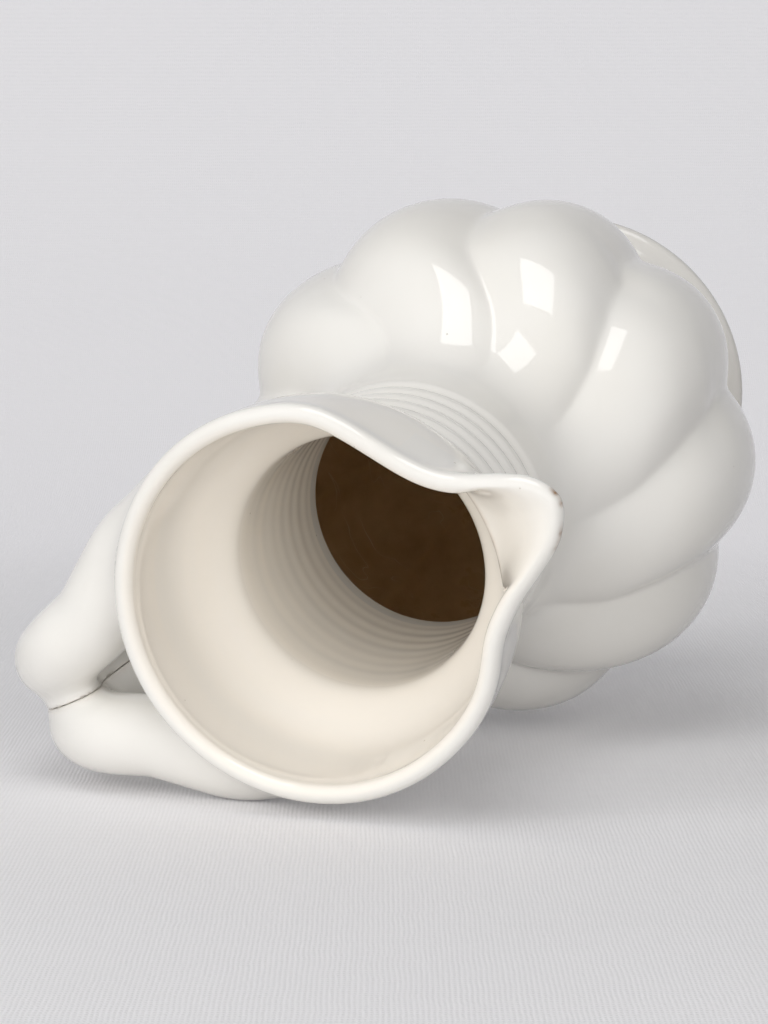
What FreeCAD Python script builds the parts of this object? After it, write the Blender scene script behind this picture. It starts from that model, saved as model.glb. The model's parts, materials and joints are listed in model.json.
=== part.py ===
import FreeCAD, Part
import math
import os

# A wide-mouthed glazed jug, upright on its foot, in millimetres.
# +Z is up the axis, the pouring lip points to -X and the handle to +X.
# The origin is the centre of the foot ring, in the plane that it stands on.

# Foot
foot_radius = 74.0            # outer edge of the flared foot
foot_height = 37.0            # standing plane to the underside of the body
foot_waist_radius = 57.0      # where the foot meets the body
foot_edge_height = 5.0        # upright edge at the bottom of the flare
foot_ring_width = 9.0         # width of the ring that stands on the table
foot_wall = 7.0
foot_edge_rounding = 2.0
foot_bend_share = 0.33        # how far the middle of the flare stands out, as a share of the wall

# Body
body_radius = 104.5           # at the crests of the lobes, where it is widest
belly_height = 91.0           # foot to the widest level
shoulder_height = 84.0        # widest level to the neck
groove_depth = 8.0            # crest to groove, measured along the radius
groove_curl = 21.0            # degrees that a groove turns between the widest level and the neck
first_groove_angle = 99.0     # place of one groove at the widest level, in degrees
lobe_angles = (36.0, 37.5, 38.5, 36.0, 37.0, 37.0, 34.5, 34.5, 34.5, 34.5)
body_wall = 6.0
floor_thickness = 6.0
lining_thickness = 1.0        # brown coat inside the body

# Neck
neck_height = 71.0            # body to collar
neck_bore_radius = 46.0
neck_wall = 6.3
neck_root_radius = 54.5       # outer radius where the neck leaves the shoulder
neck_root_height = 19.0       # length of the flare under the first groove
rib_pitch = 9.0
rib_count = 5
rib_relief = 1.4              # depth of the throwing grooves

# Collar, the bowl of the mouth
collar_height = 50.0
collar_wall = 5.6
collar_mouth_radius = 64.2    # inner radius under the rim

# Rim
rim_height = 8.0
rim_radius = 70.6             # outer
rim_inner_radius = 63.6
rim_rounding = 3.0

# Pouring lip
lip_half_angle = 36.0         # degrees to each side of -X that the lip takes up
lip_sill_height = 24.5        # sill of the trough, below the top of the rim
lip_reach = 100.0             # axis to the outer tip
lip_nose_half_width = 10.0
lip_side_half_width = 19.8
lip_pinch_half_width = 28.0   # where the mouth is pinched in beside the lip
lip_nose_share = 0.83         # places along the reach of the lip past the rim
lip_side_share = 0.22
lip_pinch_share = -0.19
lip_wall = 6.4
lip_belly_share = 0.56        # how far the skin has swung out at half the lip's height
lip_nose_angle_share = 0.25   # part of the half angle that the nose takes up on the round wall
lip_side_shares = (0.67, 0.33, 0.0)   # places along the side, from the corner to the nose

# Handle, two strands of clay laid side by side
handle_turn = 2.3             # degrees that the handle stands off the line of the lip
strand_radius = 15.5
strand_contact_gap = 0.3      # between the flats where the strands are pressed together
strand_half_spacing = 15.0    # axis of a strand to the plane between the two
strand_top_drop = 27.0        # top of the rim to the axis of the strands
handle_reach = 123.5          # jug axis to the outer bend of the strand axis
handle_knee_reach = 118.0
handle_knee_height = 226.0
handle_foot_reach = 82.0
handle_foot_height = 162.0
handle_foot_spread = 17.0
root_reach = 32.0             # start of the strand axis, inside the collar
root_spread = 46.5
splay_reach = 64.0
splay_spread = 38.0
fork_reach = 90.0             # where the two strands come together
fork_spread = 18.5
root_bend_radius = 40.0
fork_bend_radius = 26.0
top_bend_radius = 23.0
knee_bend_radius = 130.0

# Clearance past a cut
overrun = 20.0

# Heights worked out from the sizes above
widest_level = foot_height + belly_height
body_top = widest_level + shoulder_height
neck_top = body_top + neck_height
collar_top = neck_top + collar_height
jug_height = collar_top + rim_height
lip_sill = jug_height - lip_sill_height
strand_level = jug_height - strand_top_drop
neck_radius = neck_bore_radius + neck_wall

# Body outline: shares of the height, of the swelling, of the groove depth and of the curl.
belly_shares = (
    (0.000, 0.000, 0.00, 0.28),
    (0.044, 0.080, 0.15, 0.26),
    (0.143, 0.300, 0.60, 0.22),
    (0.319, 0.605, 0.92, 0.14),
    (0.527, 0.832, 1.00, 0.08),
    (0.758, 0.966, 1.00, 0.03),
    (1.000, 1.000, 1.00, 0.00),
)
shoulder_shares = (
    (0.262, 0.940, 1.00, 0.05),
    (0.417, 0.842, 1.00, 0.17),
    (0.548, 0.690, 1.00, 0.40),
    (0.643, 0.515, 0.92, 0.67),
    (0.726, 0.325, 0.72, 0.86),
    (0.821, 0.150, 0.36, 0.97),
    (0.917, 0.046, 0.10, 1.00),
    (1.000, 0.000, 0.00, 1.00),
)

# Collar outline from the neck up: share of the height, share of the widening.
collar_shares = (
    (0.000, 0.000),
    (0.050, 0.020),
    (0.130, 0.165),
    (0.270, 0.495),
    (0.440, 0.800),
    (0.660, 0.930),
    (1.000, 1.000),
)

os.makedirs("parts", exist_ok=True)


def polar(radius, angle, height):
    turn = math.radians(angle)
    return FreeCAD.Vector(radius * math.cos(turn), radius * math.sin(turn), height)


def on_axis(radius, height):
    return FreeCAD.Vector(radius, 0, height)


def joined(points):
    """Straight edges from each point to the next."""
    return [Part.LineSegment(a, b).toShape() for a, b in zip(points, points[1:])]


def turned(edges, angle=360.0):
    """Solid of revolution of a closed outline in the XZ plane."""
    face = Part.Face(Part.Wire(edges))
    return face.revolve(FreeCAD.Vector(0, 0, 0), FreeCAD.Vector(0, 0, 1), angle)


def smooth_line(points):
    curve = Part.BSplineCurve()
    curve.interpolate(points)
    return curve.toShape()


def save(shape, node):
    solids = shape.Solids
    total = sum(solid.Volume for solid in solids)
    print(node, "solids", len(solids), "volume", round(total), "valid", shape.isValid())
    shape.exportStep(os.path.join("parts", node + ".step"))


# Body

def crest_outline():
    """Stations up the crests: height, radius, groove depth and turn of the grooves."""
    stations = []
    for height, swelling, depth, curl in belly_shares:
        level = foot_height + height * belly_height
        radius = foot_waist_radius + swelling * (body_radius - foot_waist_radius)
        stations.append((level, radius, depth * groove_depth, -curl * groove_curl))
    for height, swelling, depth, curl in shoulder_shares:
        level = widest_level + height * shoulder_height
        radius = neck_root_radius + swelling * (body_radius - neck_root_radius)
        stations.append((level, radius, depth * groove_depth, -curl * groove_curl))
    return stations


def inset(stations, thickness):
    """The same stations moved inwards, square to the outline."""
    moved = []
    last = len(stations) - 1
    for index, (height, radius, depth, turn) in enumerate(stations):
        before = stations[max(index - 1, 0)]
        after = stations[min(index + 1, last)]
        rise = after[0] - before[0]
        swell = after[1] - before[1]
        length = math.hypot(rise, swell)
        new_height = height + thickness * swell / length
        new_radius = radius - thickness * rise / length
        moved.append((new_height, new_radius, depth, turn))
    return moved


def lobed_ring(station):
    """Closed outline of one level, one arc for each lobe."""
    height, radius, depth, turn = station
    edges = []
    angle = first_groove_angle + turn
    for width in lobe_angles:
        start = polar(radius - depth, angle, height)
        crest = polar(radius, angle + width / 2, height)
        end = polar(radius - depth, angle + width, height)
        edges.append(Part.Arc(start, crest, end).toShape())
        angle += width
    return Part.Wire(edges)


def lobed_solid(stations):
    rings = [lobed_ring(station) for station in stations]
    return Part.makeLoft(rings, True, False)


def hollow(thickness, top_radius):
    """Space inside a wall of the given thickness, open at the top of the body."""
    stations = crest_outline()
    inner = inset(stations, thickness)
    floor_level = foot_height + floor_thickness + thickness - body_wall
    floor = (floor_level, inner[0][1], 0.0, stations[0][3])
    mouth = (body_top, top_radius, 0.0, stations[-1][3])
    return lobed_solid([floor] + inner[2:-1] + [mouth])


def make_body(cavity):
    return lobed_solid(crest_outline()).cut(cavity)


def make_lining(cavity):
    """Brown coat on the inner wall, up to the lower end of the neck's bore."""
    inside = hollow(body_wall + lining_thickness, neck_bore_radius - lining_thickness)
    top = body_top - body_wall - lining_thickness
    reach = body_radius + overrun
    below = Part.makeCylinder(reach, top)
    return cavity.cut(inside).common(below)


# Foot

def make_foot():
    edge = on_axis(foot_radius, foot_edge_height)
    waist = on_axis(foot_waist_radius, foot_height)
    bend = on_axis(
        foot_waist_radius + foot_bend_share * foot_wall,
        foot_edge_height + (foot_height - foot_edge_height) / 2,
    )
    ring_inner = on_axis(foot_radius - foot_ring_width, 0)
    inner_top = on_axis(foot_waist_radius - foot_wall, foot_height)
    inner_bend = on_axis(bend.x - foot_wall, bend.z)
    outline = joined([ring_inner, on_axis(foot_radius, 0), edge])
    outline.append(Part.Arc(edge, bend, waist).toShape())
    outline += joined([waist, inner_top])
    outline.append(Part.Arc(inner_top, inner_bend, ring_inner).toShape())
    foot = turned(outline)
    rims = [
        edge_line
        for edge_line in foot.Edges
        if edge_line.BoundBox.XMax > foot_radius - foot_edge_rounding / 2
        and edge_line.BoundBox.ZLength < foot_edge_rounding / 2
    ]
    return foot.makeFillet(foot_edge_rounding, rims)


# Neck and collar

def rib_line(radius, relief, first, count):
    """Points of a ribbed wall: a groove, then a rib, again and again."""
    points = []
    for index in range(count):
        groove = first + index * rib_pitch
        points.append(on_axis(radius - relief, groove))
        points.append(on_axis(radius, groove + rib_pitch / 2))
    return points


def make_neck():
    first = body_top + neck_root_height
    outer = [on_axis(neck_root_radius, body_top)]
    outer.append(on_axis((neck_root_radius + neck_radius) / 2, body_top + neck_root_height / 2))
    outer += rib_line(neck_radius + rib_relief / 2, rib_relief, first, rib_count)
    outer.append(on_axis(neck_radius, neck_top))
    inner = [on_axis(neck_bore_radius, neck_top)]
    ribs = rib_line(neck_bore_radius + rib_relief / 2, rib_relief, body_top + rib_pitch, rib_count + 1)
    inner += reversed(ribs)
    inner.append(on_axis(neck_bore_radius, body_top))
    outline = [smooth_line(outer)]
    outline += joined([outer[-1], inner[0]])
    outline.append(smooth_line(inner))
    outline += joined([inner[-1], outer[0]])
    return turned(outline)


def collar_widening(share):
    """Share of the collar's widening at a share of its height."""
    for (low, narrow), (high, wide) in zip(collar_shares, collar_shares[1:]):
        if share <= high:
            return narrow + (wide - narrow) * (share - low) / (high - low)
    return 1.0


def collar_inner():
    widening = collar_mouth_radius - neck_bore_radius
    return [
        on_axis(neck_bore_radius + wide * widening, neck_top + high * collar_height)
        for high, wide in collar_shares
    ]


def collar_outer():
    """Inner line moved out by the wall, square to it, between level ends."""
    inner = collar_inner()
    moved = [on_axis(neck_radius, neck_top)]
    for before, here, after in zip(inner[1:], inner[2:], inner[3:]):
        run = after.sub(before).normalize()
        moved.append(on_axis(here.x + collar_wall * run.z, here.z - collar_wall * run.x))
    moved.append(on_axis(inner[-1].x + collar_wall, collar_top))
    return moved


def lip_sector(low, high):
    """Block over the angle that the lip takes up, between two heights."""
    reach = lip_reach + overrun
    centre = on_axis(0, low)
    start = polar(reach, 180 - lip_half_angle, low)
    end = polar(reach, 180 + lip_half_angle, low)
    middle = polar(reach, 180, low)
    edges = joined([centre, start])
    edges.append(Part.Arc(start, middle, end).toShape())
    edges += joined([end, centre])
    face = Part.Face(Part.Wire(edges))
    return face.extrude(FreeCAD.Vector(0, 0, high - low))


def make_collar():
    inner = collar_inner()
    outer = collar_outer()
    outline = [smooth_line(outer)]
    outline += joined([outer[-1], inner[-1]])
    outline.append(smooth_line(list(reversed(inner))))
    outline += joined([inner[0], outer[0]])
    wall = turned(outline)
    return wall.cut(lip_sector(lip_sill, jug_height + overrun))


def make_rim():
    """Rolled edge of the mouth, all round but for the lip."""
    inner_low = on_axis(rim_inner_radius, collar_top)
    outer_low = on_axis(rim_radius, collar_top)
    outer_high = on_axis(rim_radius, jug_height - rim_rounding)
    inner_high = on_axis(rim_inner_radius, jug_height - rim_rounding)
    crown = on_axis((rim_radius + rim_inner_radius) / 2, jug_height)
    outline = joined([inner_low, outer_low, outer_high])
    outline.append(Part.Arc(outer_high, crown, inner_high).toShape())
    outline += joined([inner_high, inner_low])
    start = 180 + lip_half_angle
    rim = turned(outline, 360 - 2 * lip_half_angle)
    rim.rotate(FreeCAD.Vector(0, 0, 0), FreeCAD.Vector(0, 0, 1), start)
    return rim


# Pouring lip

def lip_slice(root_radius, side_points, tip):
    """Wedge-shaped outline: from the axis to the root, along one side, round the nose and back."""
    height = tip.z
    corner = polar(root_radius, 180 - lip_half_angle, height)
    nose = side_points[-1]
    axis = on_axis(0, height)

    def mirrored(place):
        return FreeCAD.Vector(place.x, -place.y, place.z)

    side = [corner] + side_points
    other_side = [mirrored(place) for place in reversed(side)]
    edges = joined([axis, corner])
    edges.append(smooth_line(side))
    edges.append(Part.Arc(nose, tip, mirrored(nose)).toShape())
    edges.append(smooth_line(other_side))
    edges += joined([other_side[-1], axis])
    return Part.Wire(edges)


def lip_plan(inset_by, height):
    """Points along one side of the lip's plan, moved in by a part of the wall."""
    projection = lip_reach - rim_radius
    pinch_reach = rim_radius + lip_pinch_share * projection
    side_reach = rim_radius + lip_side_share * projection
    nose_reach = rim_radius + lip_nose_share * projection
    return [
        FreeCAD.Vector(inset_by / 2 - pinch_reach, lip_pinch_half_width - inset_by, height),
        FreeCAD.Vector(inset_by / 2 - side_reach, lip_side_half_width - inset_by, height),
        FreeCAD.Vector(inset_by - nose_reach, lip_nose_half_width - inset_by / 2, height),
    ]


def round_plan(radius, height):
    """The same points where the lip is still part of the round wall."""
    nose_angle = lip_nose_angle_share * lip_half_angle
    return [
        polar(radius, 180 - nose_angle - share * (lip_half_angle - nose_angle), height)
        for share in lip_side_shares
    ]


def between(low_points, high_points, share, height):
    """Points a share of the way from one plan to the other, at the given height."""
    mixed = []
    for low, high in zip(low_points, high_points):
        point = low + (high - low) * share
        mixed.append(FreeCAD.Vector(point.x, point.y, height))
    return mixed


def lip_block(sill_radius, top_radius, inset_by):
    """Solid wedge under the outer or the inner skin of the lip."""
    low = round_plan(sill_radius, lip_sill)
    high = lip_plan(inset_by, jug_height)
    low_tip = on_axis(-sill_radius, lip_sill)
    high_tip = on_axis(inset_by - lip_reach, jug_height)
    level = lip_sill + lip_sill_height / 2
    middle_radius = (sill_radius + top_radius) / 2
    middle = between(low, high, lip_belly_share, level)
    middle_tip = between([low_tip], [high_tip], lip_belly_share, level)[0]
    slices = [
        lip_slice(sill_radius, low, low_tip),
        lip_slice(middle_radius, middle, middle_tip),
        lip_slice(top_radius, high, high_tip),
    ]
    return Part.makeLoft(slices, True, False)


def make_lip():
    sill_share = (lip_sill - neck_top) / collar_height
    widening = collar_mouth_radius - neck_bore_radius
    sill_inner = neck_bore_radius + widening * collar_widening(sill_share)
    outer = lip_block(sill_inner + collar_wall, rim_radius, 0)
    inner = lip_block(sill_inner, rim_inner_radius, lip_wall)
    return outer.cut(inner)


# Handle

def rounded_path(points, radii):
    """Straight runs through the points, with an arc at each corner."""
    edges = []
    start = points[0]
    for before, corner, after, radius in zip(points, points[1:], points[2:], radii):
        back = before.sub(corner).normalize()
        ahead = after.sub(corner).normalize()
        half = back.getAngle(ahead) / 2
        setback = radius / math.tan(half)
        entry = corner + back * setback
        leave = corner + ahead * setback
        inward = (back + ahead).normalize()
        middle = corner + inward * (radius / math.sin(half) - radius)
        edges.append(Part.LineSegment(start, entry).toShape())
        edges.append(Part.Arc(entry, middle, leave).toShape())
        start = leave
    edges.append(Part.LineSegment(start, points[-1]).toShape())
    return Part.Wire(edges)


def make_strand(side, jug_outside):
    points = [
        FreeCAD.Vector(root_reach, side * root_spread, strand_level),
        FreeCAD.Vector(splay_reach, side * splay_spread, strand_level),
        FreeCAD.Vector(fork_reach, side * fork_spread, strand_level),
        FreeCAD.Vector(handle_reach, side * strand_half_spacing, strand_level),
        FreeCAD.Vector(handle_knee_reach, side * strand_half_spacing, handle_knee_height),
        FreeCAD.Vector(handle_foot_reach, side * handle_foot_spread, handle_foot_height),
    ]
    radii = [root_bend_radius, fork_bend_radius, top_bend_radius, knee_bend_radius]
    path = rounded_path(points, radii)
    heading = points[1].sub(points[0])
    section = Part.Wire(Part.makeCircle(strand_radius, points[0], heading))
    tube = path.makePipeShell([section], True, True)
    reach = handle_reach + strand_radius + overrun
    width = root_spread + strand_radius + overrun
    own_half = Part.makeBox(reach, width, jug_height)
    own_half.translate(FreeCAD.Vector(0, strand_contact_gap / 2, 0))
    if side < 0:
        own_half = own_half.mirror(FreeCAD.Vector(0, 0, 0), FreeCAD.Vector(0, 1, 0))
    strand = tube.common(own_half)
    strand.rotate(FreeCAD.Vector(0, 0, 0), FreeCAD.Vector(0, 0, 1), handle_turn)
    return strand.cut(jug_outside)


def collar_block():
    """The collar and neck taken as solid, which the strands end against."""
    outer = collar_outer()
    edges = [smooth_line(outer)]
    edges += joined([outer[-1], on_axis(0, collar_top), on_axis(0, neck_top), outer[0]])
    return turned(edges)


cavity = hollow(body_wall, neck_bore_radius)
jug_outside = collar_block().fuse(lobed_solid(crest_outline()))
save(make_foot(), "foot")
save(make_body(cavity), "body_shell")
save(make_lining(cavity), "inner_lining")
save(make_neck(), "neck")
save(make_collar(), "collar")
save(make_rim(), "rim_band")
save(make_lip(), "pouring_lip")
save(make_strand(1, jug_outside), "handle_strand_left")
save(make_strand(-1, jug_outside), "handle_strand_right")
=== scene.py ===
import json
import math

import bpy
import numpy as np
from mathutils import Matrix, Vector

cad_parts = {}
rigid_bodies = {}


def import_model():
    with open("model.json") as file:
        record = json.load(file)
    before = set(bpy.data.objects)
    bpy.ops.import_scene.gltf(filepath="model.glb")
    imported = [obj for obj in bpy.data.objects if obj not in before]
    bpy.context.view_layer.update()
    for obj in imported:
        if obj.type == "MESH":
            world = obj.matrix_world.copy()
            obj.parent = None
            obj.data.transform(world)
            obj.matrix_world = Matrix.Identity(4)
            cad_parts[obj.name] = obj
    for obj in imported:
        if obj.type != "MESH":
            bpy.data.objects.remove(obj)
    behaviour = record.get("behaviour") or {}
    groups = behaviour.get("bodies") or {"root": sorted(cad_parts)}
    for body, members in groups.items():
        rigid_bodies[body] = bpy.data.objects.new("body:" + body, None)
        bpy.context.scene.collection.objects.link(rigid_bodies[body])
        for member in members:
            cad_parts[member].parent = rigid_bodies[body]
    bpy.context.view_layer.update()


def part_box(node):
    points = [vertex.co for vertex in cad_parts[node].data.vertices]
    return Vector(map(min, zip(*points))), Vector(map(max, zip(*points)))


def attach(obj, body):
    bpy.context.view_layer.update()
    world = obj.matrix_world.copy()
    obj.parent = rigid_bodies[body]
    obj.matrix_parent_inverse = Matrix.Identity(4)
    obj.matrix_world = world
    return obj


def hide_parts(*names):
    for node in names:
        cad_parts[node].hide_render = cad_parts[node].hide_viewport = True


for leftOver in list(bpy.data.objects):
    bpy.data.objects.remove(leftOver)
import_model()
mm = 0.001


def newObject(name, data):
    made = bpy.data.objects.new(name, data)
    bpy.context.scene.collection.objects.link(made)
    return made


# The jug stands on its foot at the origin: +Z up its axis, lip towards -X, handle towards +X.
# The photograph shows it lying on its side, so the camera is rolled and the cloth leans.

# Camera

view = {
    "place": (-0.445075, -0.130977, 1.238417), "lens": 105.47,
    "right": (-0.848436, 0.413810, -0.330028), "down": (0.338362, 0.903511, 0.263019),
    "ahead": (0.407024, 0.111486, -0.906588), "pitch": 6.2,
}


def makeCamera():
    lens = bpy.data.cameras.new("camera")
    lens.lens, lens.sensor_width, lens.clip_end = view["lens"], 36, 50
    camera = newObject("camera", lens)
    right, down, ahead = (Vector(view[name]) for name in ("right", "down", "ahead"))
    turn = Matrix((right, -down, -ahead)).transposed().to_4x4()
    camera.matrix_world = Matrix.Translation(view["place"]) @ turn
    bpy.context.scene.camera = camera
    return down, ahead


down, ahead = makeCamera()
pitch = math.radians(view["pitch"])
floorUp = (-math.cos(pitch) * down - math.sin(pitch) * ahead).normalized()
floorAhead = (ahead - ahead.dot(floorUp) * floorUp).normalized()
floorAcross = floorAhead.cross(floorUp).normalized()


# Levels where the pieces meet

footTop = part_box("foot")[1].z
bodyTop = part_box("neck")[0].z
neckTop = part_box("neck")[1].z
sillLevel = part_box("pouring_lip")[0].z
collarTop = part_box("rim_band")[0].z
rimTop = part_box("rim_band")[1].z


# Curves through a few points

def splineThrough(knots, values, at):
    # Natural cubic spline: its even curvature lets highlights run smoothly over the glaze.
    knots, values, at = np.array(knots, float), np.array(values, float), np.array(at, float)
    count = len(knots)
    gaps = np.diff(knots)
    slopes = np.diff(values, axis=0) / gaps[:, None]
    system = np.eye(count)
    change = np.zeros_like(values)
    for i in range(1, count - 1):
        system[i, i - 1:i + 2] = gaps[i - 1], 2 * (gaps[i - 1] + gaps[i]), gaps[i]
        change[i] = 6 * (slopes[i] - slopes[i - 1])
    bends = np.linalg.solve(system, change)
    k = np.clip(np.searchsorted(knots, at) - 1, 0, count - 2)
    along = (at - knots[k])[:, None]
    gap = gaps[k][:, None]
    first = slopes[k] - gap * (2 * bends[k] + bends[k + 1]) / 6
    third = (bends[k + 1] - bends[k]) / (6 * gap)
    return values[k] + along * (first + along * (bends[k] / 2 + along * third))


def lengthAlong(points):
    # Length of a line up to each of its points.
    return np.concatenate([[0], np.cumsum(np.linalg.norm(np.diff(points, axis=0), axis=1))])


def sampled(at, knots, table):
    return np.stack([np.interp(at, knots, column) for column in table.T], axis=1)


def lineThrough(stations, dense=4000):
    # Fine samples of a smooth line, with columns such as level, radius and shares.
    stations = np.array(stations, float)
    knots = lengthAlong(stations[:, :2])
    return splineThrough(knots, stations, np.linspace(0, knots[-1], dense))


def rising(line):
    return line[np.argsort(line[:, 0], kind="stable")]


def partOf(line, low, high, count):
    # Evenly spaced samples of a rising line between two levels.
    keep = (line[:, 0] > low) & (line[:, 0] < high)
    ends = sampled((low, high), line[:, 0], line)
    part = np.vstack([ends[:1], line[keep], ends[1:]])
    length = lengthAlong(part[:, :2])
    return sampled(np.linspace(0, length[-1], count), length, part)


def smoothStep(low, high, value):
    t = np.clip((np.asarray(value, float) - low) / (high - low), 0, 1)
    return t * t * (3 - 2 * t)


def unit(vectors):
    return vectors / np.maximum(np.linalg.norm(vectors, axis=-1, keepdims=True), 1e-12)


# Meshes: grids are rows by columns of points, rows along the wall and columns round the axis

def roundGrid(level, radius, angles):
    return np.stack([radius[:, None] * np.cos(angles), radius[:, None] * np.sin(angles),
                     np.repeat(level[:, None], len(angles), 1)], axis=2)


def ringNormals(grid):
    along = np.roll(grid, -1, axis=1) - np.roll(grid, 1, axis=1)
    return unit(np.cross(along, np.gradient(grid, axis=0)))


def storeValues(mesh, name, values):
    attribute = mesh.attributes.new(name, "FLOAT", "POINT")
    attribute.data.foreach_set("value", np.asarray(values, np.float32).ravel())


def meshValues(mesh, what):
    # Points or normals of a mesh, one row for each.
    values = np.zeros(len(mesh.vertices) * 3)
    mesh.vertices.foreach_get(what, values)
    return values.reshape(-1, 3)


def meshFrom(name, points, faces, loopNormals=None, **stored):
    mesh = bpy.data.meshes.new(name)
    mesh.from_pydata([tuple(p) for p in np.asarray(points).reshape(-1, 3)], [], faces)
    mesh.polygons.foreach_set("use_smooth", [True] * len(mesh.polygons))
    if loopNormals is not None:
        mesh.normals_split_custom_set([tuple(n) for n in loopNormals])
    mesh.update()
    for label, values in stored.items():
        storeValues(mesh, label, values)
    return mesh


def wallPiece(name, patches):
    # Closed solids from grids. Each patch: points, normals, kind, the rows after which the wall is
    # a hidden cut, and stains. A pot closes round the axis and has both ends capped. In a ring
    # and in a part the last row meets the first, and a part also has its two sides capped.
    points, faces, loops, spots = [], [], [], []
    start = 0
    for grid, normals, kind, cuts, stains in patches:
        rows, columns = grid.shape[:2]
        numbers = np.arange(rows * columns).reshape(rows, columns) + start
        flat, flatNormals = grid.reshape(-1, 3), normals.reshape(-1, 3)
        span = columns - (kind == "part")
        for row in range(rows - (kind == "pot")):
            here, there = numbers[row], numbers[(row + 1) % rows]
            quads = np.stack([here, np.roll(here, -1), np.roll(there, -1), there], axis=1)[:span]
            faces.extend(quads.tolist())
            if row in cuts:
                corners = flat[quads - start]
                square = np.cross(corners[:, 1] - corners[:, 0], corners[:, 3] - corners[:, 0])
                loops.append(np.repeat(unit(square), 4, axis=0))
            else:
                loops.append(flatNormals[quads - start].reshape(-1, 3))
        caps = {"pot": (numbers[0][::-1], numbers[-1]), "ring": (),
                "part": (numbers[:, 0], numbers[::-1, -1])}[kind]
        for cap in caps:
            corners = flat[cap - start]
            faces.append(cap.tolist())
            square = np.cross(np.roll(corners, 1, axis=0), corners).sum(axis=0)
            loops.append(np.tile(unit(square), (len(cap), 1)))
        points.append(flat)
        spots.append(np.broadcast_to(stains, (rows, columns)).ravel())
        start += rows * columns
    stain = np.concatenate(spots)
    return newObject(name, meshFrom(name, np.vstack(points), faces, np.vstack(loops), stain=stain))


def finishPiece(piece, node, slot):
    if "warmPaintedLight" not in piece.data.attributes:
        storeValues(piece.data, "warmPaintedLight", np.zeros(len(piece.data.vertices)))
    piece.data.materials.clear()
    piece.data.materials.append(glazes[slot])
    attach(piece, "root")
    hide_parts(node)
    print(piece.name, "triangles", sum(len(p.vertices) - 2 for p in piece.data.polygons))


# Nodes

def fillInputs(tree, node, inputs):
    for key, value in inputs.items():
        if isinstance(value, bpy.types.NodeSocket):
            tree.links.new(value, node.inputs[key])
        else:
            node.inputs[key].default_value = value


def addNode(tree, kind, inputs=None, **settings):
    # Inputs go by name or number, and each is a value or the socket to link from.
    node = tree.nodes.new(kind)
    for name, value in settings.items():
        setattr(node, name, value)
    fillInputs(tree, node, inputs or {})
    return node


def mathOn(tree):
    # Gives a function that adds one math node to this tree.
    def do(operation, a, b=None):
        inputs = {0: a} if b is None else {0: a, 1: b}
        return addNode(tree, "ShaderNodeMath", inputs, operation=operation).outputs[0]

    return do


def newTree(name, numbers):
    tree = bpy.data.node_groups.new(name, "GeometryNodeTree")
    sockets = [("Geometry", "INPUT", "Geometry"), ("Geometry", "OUTPUT", "Geometry")]
    sockets += [(label, "INPUT", "Float") for label in numbers] + [("Glaze", "INPUT", "Material")]
    for label, way, kind in sockets:
        tree.interface.new_socket(label, in_out=way, socket_type="NodeSocket" + kind)
    place = addNode(tree, "GeometryNodeInputPosition").outputs[0]
    parts = addNode(tree, "ShaderNodeSeparateXYZ", {0: place}).outputs
    return tree, addNode(tree, "NodeGroupInput").outputs, parts


def storedValue(tree, name):
    node = addNode(tree, "GeometryNodeInputNamedAttribute", {"Name": name}, data_type="FLOAT")
    return node.outputs["Attribute"]


def endTree(tree, given, moved):
    inputs = {"Geometry": given["Geometry"], **moved}
    placed = addNode(tree, "GeometryNodeSetPosition", inputs).outputs[0]
    realized = addNode(tree, "GeometryNodeRealizeInstances", {0: placed}).outputs[0]
    inputs = {"Geometry": realized, "Material": given["Glaze"]}
    painted = addNode(tree, "GeometryNodeSetMaterial", inputs).outputs[0]
    addNode(tree, "NodeGroupOutput", {0: painted})
    return tree


def shapedBy(tree, mesh, settings):
    # Runs the tree on the mesh and gives the new points.
    blank = newObject("blank", mesh)
    modifier = blank.modifiers.new(tree.name, "NODES")
    modifier.node_group = tree
    for item in tree.interface.items_tree:
        if item.in_out == "INPUT" and item.name in settings:
            modifier[item.identifier] = settings[item.name]
    bpy.context.view_layer.update()
    graph = bpy.context.evaluated_depsgraph_get()
    shaped = bpy.data.meshes.new_from_object(blank.evaluated_get(graph), depsgraph=graph)
    points = meshValues(shaped, "co")
    blank.modifiers.remove(modifier)
    bpy.data.objects.remove(blank)
    bpy.data.meshes.remove(shaped)
    return points


# Materials

def newMaterial(name):
    material = bpy.data.materials.new(name)
    material.use_nodes = True
    tree = material.node_tree
    place = addNode(tree, "ShaderNodeTexCoord").outputs["Object"]
    return material, tree, tree.nodes["Principled BSDF"], place


def noiseTexture(tree, place, scale, detail=2.0, roughness=0.5):
    inputs = {"Vector": place, "Scale": scale, "Detail": detail, "Roughness": roughness}
    return addNode(tree, "ShaderNodeTexNoise", inputs).outputs["Fac"]


def mapRange(tree, value, fromLow, fromHigh, toLow=0.0, toHigh=1.0):
    inputs = dict(enumerate((value, fromLow, fromHigh, toLow, toHigh)))
    return addNode(tree, "ShaderNodeMapRange", inputs).outputs[0]


def mixColor(tree, share, low, high):
    low, high = ((*tone, 1.0) if isinstance(tone, tuple) else tone for tone in (low, high))
    return addNode(tree, "ShaderNodeMix", {0: share, 6: low, 7: high}, data_type="RGBA").outputs[2]


def mixShader(tree, share, low, high):
    inputs = {0: share, 1: low.outputs[0], 2: high.outputs[0]}
    return addNode(tree, "ShaderNodeMixShader", inputs)


def vectorNode(tree, operation, a, b):
    return addNode(tree, "ShaderNodeVectorMath", {0: a, 1: b}, operation=operation).outputs


def named(tree, name):
    return addNode(tree, "ShaderNodeAttribute", attribute_name=name).outputs["Fac"]


def bumped(tree, height, distance, before=None):
    inputs = {"Height": height, "Distance": distance, "Strength": 1.0}
    if before is not None:
        inputs["Normal"] = before
    return addNode(tree, "ShaderNodeBump", inputs).outputs[0]


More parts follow.
